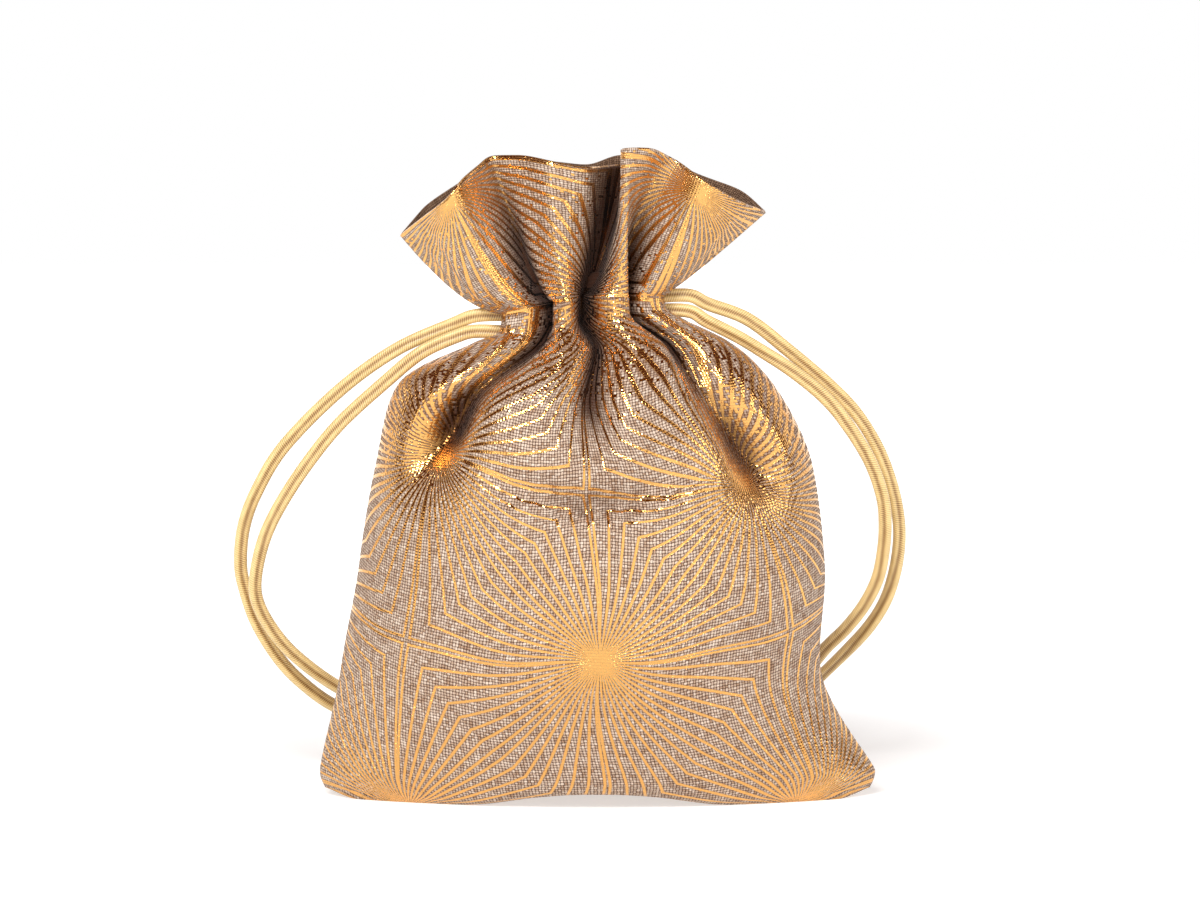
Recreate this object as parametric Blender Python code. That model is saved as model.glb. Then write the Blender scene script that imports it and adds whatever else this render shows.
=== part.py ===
"""A small drawstring gift pouch, filled and standing, with its neck drawn tight and a flared frill.

Metres, +Z up, the front towards -Y. The origin is under the middle of the pouch, on the table.
The pouch is two panels of cloth sewn together at both sides and along the bottom. Each point of
the cloth has a place across its panel, from the left seam to the right one, and a level from the
bottom seam up to the drawn neck. Above the neck the cloth opens into the frill.
"""

import math

import bmesh
import bpy
import numpy as np
from mathutils import Vector

# The cloth bag, from the table up. A width runs from seam to seam, a depth from front to back.
TREAD_INSET = 0.0019  # the resting ring, narrower than the foot
SEAM_INSET = 0.0012  # the bottom seam, narrower than the foot
TREAD_DEPTH = 0.0215
FOOT_HEIGHT = 0.0045
FOOT_WIDTH = 0.1004
FOOT_DEPTH = 0.0310
WAIST_HEIGHT = 0.0230
WAIST_WIDTH = 0.0866
WAIST_DEPTH = 0.0432
BELLY_HEIGHT = 0.0420
BELLY_WIDTH = 0.0838
BELLY_DEPTH = 0.0470
CHEST_HEIGHT = 0.0580
CHEST_WIDTH = 0.0784
CHEST_DEPTH = 0.0462
SHOULDER_HEIGHT = 0.0715
SHOULDER_WIDTH = 0.0675
SHOULDER_DEPTH = 0.0384
COLLAR_HEIGHT = 0.0812
COLLAR_WIDTH = 0.0475
COLLAR_DEPTH = 0.0266
COLLAR_TILT = 0.0004  # the right seam above the left one, each way from the middle
NECK_HEIGHT = 0.0862
NECK_WIDTH = 0.0312
NECK_DEPTH = 0.0204
NECK_TILT = 0.0022
THROAT_HEIGHT = 0.0904
THROAT_WIDTH = 0.0300
THROAT_DEPTH = 0.0196
THROAT_TILT = 0.0016

BASE_ARCH = 0.0026  # lift of the bottom between its two resting ends
CORNER_LIFT = 0.0016  # lift of the tips of the bottom corners

# The gathers.
PLEAT_DEPTH = 0.0072  # fold at the drawn neck, from its crest to its bottom
SEAM_DENT = 0.0016  # hollow at each side seam, where a cord comes out
DIMPLE_DEPTH = 0.0042  # dent where a pleat runs out on the chest
CREASE_DEPTH = 0.0020  # soft line low between two dents

# The frill above the neck.
FRILL_WIDTH = 0.0652
FRILL_DEPTH = 0.0215
FRILL_HEIGHT = 0.0305  # highest point of the hem over the neck
FRILL_WALL = 0.0009  # cloth and its print, a little thicker than the real 0.5 mm
FLOOR_LEVEL = 0.45  # share of the frill below which it is drawn shut

# The two satin cords.
CORD = 0.0024  # diameter
CORD_STEP = 0.0045  # distance between two points of a cord
EXIT_HEIGHT = 0.0872
EXIT_TILT = 0.0018  # the right exit above the left one, each way from the middle
EXIT_SPREAD = 0.0028  # between the two strands of a cord where they leave the neck
EXIT_REACH = 0.0050  # from the seam out to where a strand clears the folds over and under it
KNOT_LENGTH = 0.0080
KNOT_WIDTH = 0.0066
KNOT_BEHIND = 0.0390  # from the middle of the pouch back to the knots
LEFT_KNOT_PLACE = -0.0130
RIGHT_KNOT_PLACE = 0.0165
TAIL_LENGTH = 0.0090  # cord left over beyond a knot
GAP = 0.0003  # between pieces that touch

COLUMNS = 56  # across each panel
ROWS = (4, 3, 4, 3, 3, 4, 4, 3, 2)  # between one section and the next
FRILL_ROWS = 9


def curve_through(places, values, at):
    """Values read from a smooth curve that never overshoots the given ones."""
    places = np.asarray(places, float)
    values = np.asarray(values, float)
    step = np.diff(places)
    slope = np.diff(values) / step
    rate = np.zeros_like(values)
    same_way = slope[:-1] * slope[1:] > 0
    before = 2 * step[1:] + step[:-1]
    after = step[1:] + 2 * step[:-1]
    with np.errstate(divide="ignore", invalid="ignore"):
        mean = (before + after) / (before / slope[:-1] + after / slope[1:])
    rate[1:-1] = np.where(same_way, mean, 0.0)
    rate[0] = slope[0]
    rate[-1] = slope[-1]
    at = np.clip(np.asarray(at, float), places[0], places[-1])
    i = np.clip(np.searchsorted(places, at, side="right") - 1, 0, len(step) - 1)
    t = (at - places[i]) / step[i]
    h = step[i]
    start = (1 + 2 * t) * (1 - t) ** 2 * values[i] + t * (1 - t) ** 2 * h * rate[i]
    end = t * t * (3 - 2 * t) * values[i + 1] + t * t * (t - 1) * h * rate[i + 1]
    return start + end


def ease(t):
    t = np.clip(t, 0.0, 1.0)
    return t * t * (3 - 2 * t)


# Sections from the bottom seam to the top of the drawn neck: height at the front, height at the
# seams, width, depth, middle as a share of the width, point (1 an ellipse, 2 a lens with sharp
# seams) and tilt.
SEAM_ROW = (0.0, CORNER_LIFT, FOOT_WIDTH - SEAM_INSET, 0.0, 0.0, 1.5, 0.0)
TREAD_ROW = (0.0, CORNER_LIFT, FOOT_WIDTH - TREAD_INSET, TREAD_DEPTH, 0.0, 1.5, 0.0)
FOOT_ROW = (FOOT_HEIGHT, FOOT_HEIGHT, FOOT_WIDTH, FOOT_DEPTH, 0.0, 1.45, 0.0)
WAIST_ROW = (WAIST_HEIGHT, WAIST_HEIGHT, WAIST_WIDTH, WAIST_DEPTH, -0.035, 1.25, 0.0)
BELLY_ROW = (BELLY_HEIGHT, BELLY_HEIGHT, BELLY_WIDTH, BELLY_DEPTH, -0.012, 1.15, 0.0)
CHEST_SEAM = 1.035 * CHEST_HEIGHT
CHEST_ROW = (CHEST_HEIGHT, CHEST_SEAM, CHEST_WIDTH, CHEST_DEPTH, -0.008, 1.1, 0.0)
SHOULDER_SEAM = 1.05 * SHOULDER_HEIGHT
SHOULDER_ROW = (SHOULDER_HEIGHT, SHOULDER_SEAM, SHOULDER_WIDTH, SHOULDER_DEPTH, -0.031, 1.05, 0.0)
COLLAR_SEAM = 1.01 * COLLAR_HEIGHT
COLLAR_ROW = (COLLAR_HEIGHT, COLLAR_SEAM, COLLAR_WIDTH, COLLAR_DEPTH, 0.0, 1.0, COLLAR_TILT)
NECK_ROW = (NECK_HEIGHT, NECK_HEIGHT, NECK_WIDTH, NECK_DEPTH, -0.085, 1.0, NECK_TILT)
THROAT_SEAM = 0.98 * THROAT_HEIGHT
THROAT_ROW = (THROAT_HEIGHT, THROAT_SEAM, THROAT_WIDTH, THROAT_DEPTH, -0.088, 1.0, THROAT_TILT)
LOWER_ROWS = (SEAM_ROW, TREAD_ROW, FOOT_ROW, WAIST_ROW, BELLY_ROW, CHEST_ROW)
UPPER_ROWS = (SHOULDER_ROW, COLLAR_ROW, NECK_ROW, THROAT_ROW)
SECTIONS = np.array(LOWER_ROWS + UPPER_ROWS)
CHEST = 5
NECK = 8
THROAT = 9

# Pleats of each panel, from one seam to the other: place in the cloth at the dent, place in the
# cloth at the neck, place round the neck, depth as a share of the full pleat, dent as a share of
# the full dent, sideways lean of the crest that follows it in pleat depths, level of the dent
# over the chest, and how narrow the pleat starts.
FRONT_PLEATS = (
    (0.185, 0.26, 0.30, 1.05, 1.05, 0.12, 0.42, 1.0),
    (0.53, 0.51, 0.49, 1.00, 0.70, 0.30, 1.00, 2.6),
    (0.83, 0.73, 0.75, 1.05, 1.15, 0.05, 0.22, 1.0),
)
BACK_PLEATS = (
    (0.21, 0.27, 0.27, 1.00, 0.9, -0.15, 0.35, 1.0),
    (0.46, 0.49, 0.49, 0.90, 0.5, 0.20, 1.10, 2.0),
    (0.78, 0.75, 0.71, 1.00, 1.0, -0.10, 0.25, 1.0),
)

# Hem of the frill: place in the cloth of its panel, then left to right, back to front and up,
# as shares of half the width, half the depth and the height of the frill.
FRONT_HEM = (
    (0.00, -1.00, 0.10, 0.486),
    (0.08, -0.87, -0.45, 0.591),
    (0.135, -0.77, -0.85, 0.669),
    (0.17, -0.70, -1.00, 0.735),
    (0.205, -0.61, -0.85, 0.812),
    (0.25, -0.51, -0.50, 0.907),
    (0.32, -0.38, -0.15, 0.975),
    (0.40, -0.16, -0.60, 0.910),
    (0.465, 0.04, -0.40, 0.880),
    (0.52, 0.13, 0.42, 0.895),
    (0.57, 0.19, 0.05, 0.930),
    (0.605, 0.21, -0.60, 0.965),
    (0.69, 0.34, -0.80, 0.985),
    (0.77, 0.49, -0.55, 0.927),
    (0.85, 0.67, -0.90, 0.793),
    (0.92, 0.86, -0.60, 0.678),
    (1.00, 1.00, -0.05, 0.620),
)
BACK_HEM = (
    (0.00, 1.00, -0.05, 0.620),
    (0.09, 0.88, 0.50, 0.735),
    (0.20, 0.64, 0.80, 0.835),
    (0.30, 0.44, 0.95, 0.920),
    (0.40, 0.22, 0.86, 0.950),
    (0.49, 0.02, 0.98, 0.890),
    (0.59, -0.20, 0.75, 0.915),
    (0.69, -0.44, 1.00, 0.930),
    (0.80, -0.66, 0.70, 0.800),
    (0.91, -0.88, 0.70, 0.640),
    (1.00, -1.00, 0.10, 0.486),
)


def panel_places():
    """Places across a panel, from seam to seam, without the second seam."""
    return np.arange(COLUMNS) / COLUMNS


def gather(pleats, strength):
    """Where the cloth of one panel lies round the bag, how deep in a fold, and how far it leans."""
    cloth = panel_places()
    at_dent = np.array([0.0] + [p[0] for p in pleats] + [1.0])
    at_neck = np.array([0.0] + [p[1] for p in pleats] + [1.0])
    neck_place = np.array([0.0] + [p[2] for p in pleats] + [1.0])
    fold = at_dent + (at_neck - at_dent) * strength
    place = fold + (neck_place - fold) * strength
    cell = np.clip(np.searchsorted(fold, cloth, side="right") - 1, 0, len(fold) - 2)
    across = (cloth - fold[cell]) / (fold[cell + 1] - fold[cell])
    hold = 0.76 * strength
    eased = across - hold * np.sin(2 * math.pi * across) / (2 * math.pi)
    lies = place[cell] + (place[cell + 1] - place[cell]) * eased
    near = np.where(across < 0.5, cell, cell + 1)
    sharp = np.array([1.0] + [p[7] for p in pleats] + [1.0])[near]
    in_fold = (0.5 + 0.5 * np.cos(2 * math.pi * across)) ** (1 + 1.2 * sharp * (1 - strength))
    lean = np.array([0.1] + [p[5] for p in pleats])[cell] * np.sin(math.pi * across) ** 2
    return lies, in_fold, near, lean


def ring(level):
    """One closed ring of the bag, the front panel from the left, then the back from the right.

    The second list holds how far each point lies inward in its fold.
    """
    values = [curve_through(range(len(SECTIONS)), SECTIONS[:, i], level) for i in range(7)]
    front_height, seam_height, width, depth, middle, point, tilt = (float(v) for v in values)
    strength = float(ease((level - CHEST) / (NECK - CHEST))) ** 0.8
    rows = []
    folds = []
    for side, pleats in ((-1, FRONT_PLEATS), (1, BACK_PLEATS)):
        lies, in_fold, near, lean = gather(pleats, strength)
        turn = np.linspace(0.0, math.pi, 721)
        x = side * width / 2 * np.cos(turn)
        y = side * depth / 2 * np.sin(turn) ** point
        run = np.concatenate(([0.0], np.cumsum(np.hypot(np.diff(x), np.diff(y)))))
        along = lies * run[-1] + lean * PLEAT_DEPTH * strength
        angle = np.interp(along, run, turn)
        x = side * width / 2 * np.cos(angle)
        y = side * depth / 2 * np.sin(angle) ** point
        flat = max(depth, 0.02 * width)
        out = np.stack((side * np.cos(angle) * flat, side * np.sin(angle) * width), 1)
        out /= np.linalg.norm(out, axis=1)[:, None]
        full = np.array([SEAM_DENT] + [PLEAT_DEPTH * p[3] for p in pleats] + [SEAM_DENT])
        past = level - CHEST - np.array([0.3] + [p[6] for p in pleats] + [0.3])
        dents = np.array([0.0] + [DIMPLE_DEPTH * p[4] for p in pleats] + [0.0])
        dents = dents * np.exp(-((past / np.where(past < 0, 0.3, 0.6)) ** 2))
        inward = in_fold * (full[near] * strength + dents[near])
        aside = np.clip(abs(lies - 0.5) / 0.25, 0, 1)
        below = level - (CHEST - 0.32 + 0.5 * aside ** 2)
        crease = np.exp(-((below / np.where(below < 0, 0.1, 0.3)) ** 2)) * (1 - ease(aside))
        inward = inward + CREASE_DEPTH * crease
        z = seam_height + (front_height - seam_height) * np.sin(angle) ** 2
        z = z + tilt * side * np.cos(angle)
        if level <= 2:
            lift = BASE_ARCH * np.clip(1 - (x / (0.24 * FOOT_WIDTH)) ** 2, 0, 1) ** 2
            z = z + lift * (1 - ease(level - 1))
            tip = ease((abs(x) / (FOOT_WIDTH / 2) - 0.86) / 0.14)
            z = np.where(level <= 1, lift + CORNER_LIFT * tip, z)
        point_row = np.stack((x + middle * width, y, z), 1)
        point_row[:, :2] -= out * inward[:, None]
        rows.append(point_row)
        folds.append(-out * inward[:, None])
    return np.concatenate(rows), np.concatenate(folds)


def hem_ring():
    """The hem of the frill, column by column as in the rings of the bag."""
    cloth = panel_places()
    middle = SECTIONS[THROAT][4] * THROAT_WIDTH
    rows = []
    for hem in (FRONT_HEM, BACK_HEM):
        places = [p[0] for p in hem]
        x = curve_through(places, [p[1] for p in hem], cloth) * FRILL_WIDTH / 2 + middle
        y = curve_through(places, [p[2] for p in hem], cloth) * FRILL_DEPTH / 2
        z = curve_through(places, [p[3] for p in hem], cloth) * FRILL_HEIGHT + NECK_HEIGHT
        rows.append(np.stack((x, y, z), 1))
    return np.concatenate(rows)


def outer_grid():
    """All rings of the cloth's outer face, and the number of the throat's ring."""
    levels = [0.0]
    for span, count in enumerate(ROWS):
        levels += [span + (i + 1) / count for i in range(count)]
    body = [ring(level)[0] for level in levels]
    throat, folds = ring(THROAT)
    hem = hem_ring()
    to_left = ease(0.5 - (throat[:, 0] - throat[:, 0].mean()) / THROAT_WIDTH)
    frill = []
    for i in range(1, FRILL_ROWS + 1):
        share = i / FRILL_ROWS
        out = share ** (0.90 - 0.17 * to_left)
        up = share ** (1.12 + 0.27 * to_left)
        row = throat + (hem - throat) * np.stack((out, out, up), 1)
        row[:, :2] += folds * (out - share ** 1.9)[:, None]
        frill.append(row)
    return np.array(body + frill), len(body) - 1


def face_out(grid):
    """Outward normals of a grid of rings."""
    round_it = np.roll(grid, -1, axis=1) - np.roll(grid, 1, axis=1)
    up = np.empty_like(grid)
    up[1:-1] = grid[2:] - grid[:-2]
    up[0] = grid[1] - grid[0]
    up[-1] = grid[-1] - grid[-2]
    normal = np.cross(round_it, up)
    length = np.linalg.norm(normal, axis=2)[..., None]
    return normal / np.maximum(length, 1e-12)


def pouch_mesh():
    """The whole pouch: cloth outside, filling and gathers inside, and the open frill on top."""
    grid, throat = outer_grid()
    normal = face_out(grid)
    floor = throat + max(1, round(FLOOR_LEVEL * FRILL_ROWS))
    inner = grid - normal * FRILL_WALL
    count = grid.shape[1]
    mesh = bmesh.new()
    rows = []
    first = {}
    for j in range(count):
        other = (2 * COLUMNS - j) % count if j >= COLUMNS else j
        if j > COLUMNS:
            first[j] = first[other]
        else:
            first[j] = mesh.verts.new(grid[0, j])
    rows.append([first[j] for j in range(count)])
    for i in range(1, len(grid)):
        rows.append([mesh.verts.new(p) for p in grid[i]])
    lip = (grid[-1] + inner[-1]) / 2 + np.array((0, 0, FRILL_WALL * 0.35))
    rows.append([mesh.verts.new(p) for p in lip])
    for i in range(len(grid) - 1, floor - 1, -1):
        rows.append([mesh.verts.new(p) for p in inner[i]])
    for low, high in zip(rows, rows[1:]):
        for j in range(count):
            k = (j + 1) % count
            corners = [low[j], low[k], high[k], high[j]]
            kept = list(dict.fromkeys(corners))
            if len(kept) > 2:
                mesh.faces.new(kept)
    mesh.faces.new(rows[-1])
    made = bpy.data.meshes.new("pouch")
    mesh.to_mesh(made)
    mesh.free()
    return made


def seam_point(side, height):
    """Point of a side seam of the neck, at a height over or under the middle of the cord's exit."""
    sits = NECK_WIDTH * (SECTIONS[NECK][4] + side * 0.5) - side * SEAM_DENT
    return np.array((sits, 0.0, EXIT_HEIGHT + side * EXIT_TILT + height))


# Free run of each strand in millimetres, from just outside the neck to the table behind.
LEFT_BACK_RUN = (
    (-25.9, 1.2, 85.2),
    (-36.1, 2.6, 80.6),
    (-46.4, 4.2, 73.2),
    (-56.7, 6.2, 62.9),
    (-61.9, 7.8, 54.6),
    (-64.5, 9.2, 47.9),
    (-65.3, 10.4, 41.0),
    (-64.6, 11.4, 36.0),
    (-62.6, 13.0, 29.5),
    (-58.8, 15.2, 22.6),
    (-54.5, 17.6, 17.5),
    (-49.0, 21.2, 12.8),
    (-41.0, 27.6, 8.4),
    (-34.0, 33.6, 5.8),
    (-27.6, 38.2, 4.2),
)
LEFT_FRONT_RUN = (
    (-25.0, -0.5, 83.2),
    (-31.5, -0.3, 80.2),
    (-38.0, 0.4, 74.9),
    (-46.2, 1.4, 67.4),
    (-52.2, 2.6, 60.1),
    (-57.0, 3.8, 52.9),
    (-60.2, 5.0, 46.6),
    (-62.0, 6.4, 40.0),
    (-62.2, 7.6, 35.2),
    (-60.4, 9.2, 30.4),
    (-57.0, 11.2, 25.3),
    (-52.2, 13.8, 20.5),
    (-47.0, 17.2, 16.4),
    (-39.0, 23.6, 11.2),
    (-32.4, 29.8, 7.6),
    (-26.6, 34.9, 5.0),
)
RIGHT_BACK_RUN = (
    (19.8, 1.4, 88.8),
    (27.0, 2.6, 86.0),
    (34.3, 3.8, 80.4),
    (41.7, 5.2, 74.1),
    (46.9, 6.6, 68.7),
    (51.0, 8.2, 62.2),
    (53.6, 9.8, 55.6),
    (55.0, 11.2, 49.6),
    (55.3, 12.4, 44.4),
    (54.6, 13.8, 38.6),
    (53.0, 15.4, 33.2),
    (50.2, 17.4, 28.2),
    (46.4, 21.0, 23.2),
    (41.8, 25.8, 17.6),
    (37.6, 30.8, 12.2),
    (33.6, 35.6, 7.8),
    (29.4, 39.2, 4.8),
)
RIGHT_FRONT_RUN = (
    (19.4, -0.8, 85.9),
    (24.8, -0.4, 83.2),
    (29.3, 0.1, 80.5),
    (34.7, 0.8, 77.0),
    (40.6, 1.8, 72.2),
    (44.8, 2.8, 67.3),
    (49.1, 4.4, 60.5),
    (51.6, 6.2, 53.9),
    (52.3, 7.6, 48.6),
    (52.1, 9.0, 43.2),
    (51.2, 10.6, 38.0),
    (49.0, 12.6, 33.0),
    (45.9, 15.0, 28.4),
    (42.2, 18.2, 24.0),
    (38.2, 23.4, 17.8),
    (34.0, 29.0, 11.8),
    (29.9, 34.4, 6.8),
)


def strand_points(side, run, upper, knot_place):
    """Points along one strand, from its exit at the neck to its knot, evenly apart."""
    start = seam_point(side, EXIT_SPREAD / 2 if upper else -EXIT_SPREAD / 2)
    start = start + np.array((side * EXIT_REACH, 0.0, 0.0))
    beside = (CORD + GAP) / 2 * (1 if upper else -1)
    near = knot_place + side * (KNOT_LENGTH / 2 + GAP)
    end = np.array((near, KNOT_BEHIND + beside, KNOT_WIDTH / 2))
    lead = end + np.array((side * 2 * CORD, 0.0, 0.0))
    through = np.array([start, *(np.array(run) / 1000), lead, end])
    first = 2 * through[0] - through[1]
    last = 2 * through[-1] - through[-2]
    through = np.array([first, *through, last])
    fine = []
    for a, b, c, d in zip(through, through[1:], through[2:], through[3:]):
        for t in np.linspace(0, 1, 24, endpoint=False):
            straight = 2 * b + (c - a) * t
            bend = (2 * a - 5 * b + 4 * c - d) * t ** 2 + (3 * b - a - 3 * c + d) * t ** 3
            fine.append((straight + bend) / 2)
    fine.append(through[-2])
    fine = np.array(fine)
    run_length = np.concatenate(([0.0], np.cumsum(np.linalg.norm(np.diff(fine, axis=0), axis=1))))
    count = int(round(run_length[-1] / CORD_STEP))
    places = np.linspace(0.0, run_length[-1], count + 1)
    return np.stack([np.interp(places, run_length, fine[:, i]) for i in range(3)], 1)


def strand(name, points, material):
    """One strand of cord as a round tube with closed ends."""
    curve = bpy.data.curves.new(name, "CURVE")
    curve.dimensions = "3D"
    curve.bevel_depth = CORD / 2
    curve.bevel_resolution = 2
    curve.use_fill_caps = True
    line = curve.splines.new("POLY")
    line.points.add(len(points) - 1)
    for place, point in zip(points, line.points):
        point.co = (*place, 1.0)
    return add(name, curve, material)


def knot(name, side, place, material):
    """The overhand knot that joins both strands of a cord, with their two tails."""
    middle = Vector((place, KNOT_BEHIND, KNOT_WIDTH / 2))
    mesh = bmesh.new()
    bmesh.ops.create_uvsphere(mesh, u_segments=20, v_segments=12, radius=0.5)
    bmesh.ops.scale(mesh, vec=(KNOT_LENGTH, KNOT_WIDTH, KNOT_WIDTH), verts=mesh.verts)
    for vertex in mesh.verts:
        turn = math.atan2(vertex.co.z, vertex.co.y) - vertex.co.x * math.pi / KNOT_LENGTH
        waist = 1 - 0.16 * math.cos(turn) ** 8
        vertex.co.y *= waist
        vertex.co.z *= waist
    data = bpy.data.meshes.new(name)
    mesh.to_mesh(data)
    mesh.free()
    data.shade_smooth()
    thing = add(name, data, material)
    thing.location = middle
    for spread in (-1, 1):
        tail = bmesh.new()
        long = TAIL_LENGTH + KNOT_LENGTH * 0.3
        bmesh.ops.create_cone(
            tail,
            cap_ends=True,
            segments=12,
            radius1=CORD / 2,
            radius2=CORD / 2,
            depth=long,
        )
        shape = bpy.data.meshes.new(f"{name}_tail")
        tail.to_mesh(shape)
        tail.free()
        piece = bpy.data.objects.new(f"{name}_tail", shape)
        bpy.context.scene.collection.objects.link(piece)
        way = Vector((-side, 0.32 * spread, -0.12)).normalized()
        piece.rotation_euler = way.to_track_quat("Z", "Y").to_euler()
        piece.location = middle + way * (KNOT_LENGTH * 0.2 + long / 2)
        piece.hide_render = True
        piece.display_type = "WIRE"
        joined = thing.modifiers.new(f"tail {spread}", "BOOLEAN")
        joined.operation = "UNION"
        joined.object = piece
    return thing


def cloth_material(name, colour, roughness, metallic):
    made = bpy.data.materials.new(name)
    made.use_nodes = True
    shader = made.node_tree.nodes["Principled BSDF"]
    shader.inputs["Base Color"].default_value = (*colour, 1.0)
    shader.inputs["Roughness"].default_value = roughness
    shader.inputs["Metallic"].default_value = metallic
    return made


def add(name, data, material):
    thing = bpy.data.objects.new(name, data)
    data.materials.append(material)
    bpy.context.scene.collection.objects.link(thing)
    return thing


def main():
    for thing in list(bpy.data.objects):
        bpy.data.objects.remove(thing)
    linen = cloth_material("gold_printed_linen", (0.52, 0.36, 0.22), 0.6, 0.2)
    made = pouch_mesh()
    made.shade_smooth()
    add("pouch", made, linen)
    satin = cloth_material("pale_gold_satin", (0.78, 0.60, 0.28), 0.35, 0.0)
    for word, side, place, front_run, back_run in (
        ("left", -1, LEFT_KNOT_PLACE, LEFT_FRONT_RUN, LEFT_BACK_RUN),
        ("right", 1, RIGHT_KNOT_PLACE, RIGHT_FRONT_RUN, RIGHT_BACK_RUN),
    ):
        front = strand_points(side, front_run, False, place)
        back = strand_points(side, back_run, True, place)
        strand(f"{word}_cord_front", front, satin)
        strand(f"{word}_cord_back", back, satin)
        knot(f"{word}_cord_knot", side, place, satin)


main()
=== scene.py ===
import math

import bmesh
import bpy
import numpy as np
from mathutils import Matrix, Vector


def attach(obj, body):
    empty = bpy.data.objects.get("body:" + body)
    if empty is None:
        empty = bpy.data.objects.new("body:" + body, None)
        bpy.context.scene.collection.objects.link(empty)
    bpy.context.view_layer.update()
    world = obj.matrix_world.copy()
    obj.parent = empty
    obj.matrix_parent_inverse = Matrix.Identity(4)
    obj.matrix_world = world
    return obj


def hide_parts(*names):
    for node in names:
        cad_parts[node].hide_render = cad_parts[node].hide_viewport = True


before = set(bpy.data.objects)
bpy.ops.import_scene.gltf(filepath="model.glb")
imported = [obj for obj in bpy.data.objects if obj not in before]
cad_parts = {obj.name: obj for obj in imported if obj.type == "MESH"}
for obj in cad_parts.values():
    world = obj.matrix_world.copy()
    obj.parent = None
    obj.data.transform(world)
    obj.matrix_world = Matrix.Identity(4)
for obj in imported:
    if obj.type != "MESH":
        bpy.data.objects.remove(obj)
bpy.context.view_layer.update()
print("frame loaded")


def fromHex(text):
    # an sRGB hex colour as linear numbers
    parts = [int(text[i : i + 2], 16) / 255 for i in (1, 3, 5)]
    linear = [c / 12.92 if c <= 0.04045 else ((c + 0.055) / 1.055) ** 2.4 for c in parts]
    return (*linear, 1.0)


def addNode(tree, kind, settings=None, links=None):
    # one node with its settings; an input, by name or by place, is linked to a node or set to a value
    made = tree.nodes.new(kind)
    for name, value in (settings or {}).items():
        setattr(made, name, value)
    for key, value in links.items() if isinstance(links, dict) else enumerate(links or ()):
        if isinstance(value, bpy.types.Node):
            value = value.outputs[0]
        if isinstance(value, bpy.types.NodeSocket):
            tree.links.new(value, made.inputs[key])
        else:
            made.inputs[key].default_value = value
    return made


# settings that many nodes share
maths = "ShaderNodeMath"
plus, minus, times, divided = ({"operation": word} for word in ("ADD", "SUBTRACT", "MULTIPLY", "DIVIDE"))
smooth = {"interpolation_type": "SMOOTHSTEP"}
flatNoise = {"noise_dimensions": "2D"}
byColour = {"data_type": "RGBA"}
byNumber = {"data_type": "FLOAT"}


def softStep(t):
    t = np.clip(t, 0.0, 1.0)
    return t * t * (3 - 2 * t)


def curveThrough(places, values, at):
    # a smooth curve that never overshoots the given values
    places = np.asarray(places, float)
    values = np.asarray(values, float)
    step = np.diff(places)
    slope = np.diff(values) / step
    rate = np.zeros_like(values)
    sameWay = slope[:-1] * slope[1:] > 0
    before = 2 * step[1:] + step[:-1]
    after = step[1:] + 2 * step[:-1]
    with np.errstate(divide="ignore", invalid="ignore"):
        mean = (before + after) / (before / slope[:-1] + after / slope[1:])
    rate[1:-1] = np.where(sameWay, mean, 0.0)
    rate[0] = slope[0]
    rate[-1] = slope[-1]
    at = np.clip(np.asarray(at, float), places[0], places[-1])
    i = np.clip(np.searchsorted(places, at, side="right") - 1, 0, len(step) - 1)
    t = (at - places[i]) / step[i]
    h = step[i]
    start = (1 + 2 * t) * (1 - t) ** 2 * values[i] + t * (1 - t) ** 2 * h * rate[i]
    end = t * t * (3 - 2 * t) * values[i + 1] + t * t * (t - 1) * h * rate[i + 1]
    return start + end


def linkObject(name, data):
    made = bpy.data.objects.new(name, data)
    bpy.context.scene.collection.objects.link(made)
    return made


# metres, degrees and millimetres
cameraSettings = {
    "distance": 0.5975,
    "elevation": 5.0,
    "lens": 100.0,
    "sensor": 36.0,
    "aim": (0.00045, 0.0, 0.0627),
}


def makeCamera(c):
    data = bpy.data.cameras.new("camera")
    data.lens = c["lens"]
    data.sensor_width = c["sensor"]
    made = linkObject("camera", data)
    tilt = math.radians(c["elevation"])
    away = Vector((0, -math.cos(tilt), math.sin(tilt)))
    made.location = Vector(c["aim"]) + away * c["distance"]
    made.rotation_euler = (-away).to_track_quat("-Z", "Y").to_euler()
    bpy.context.scene.camera = made


makeCamera(cameraSettings)
print("camera set")


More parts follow.
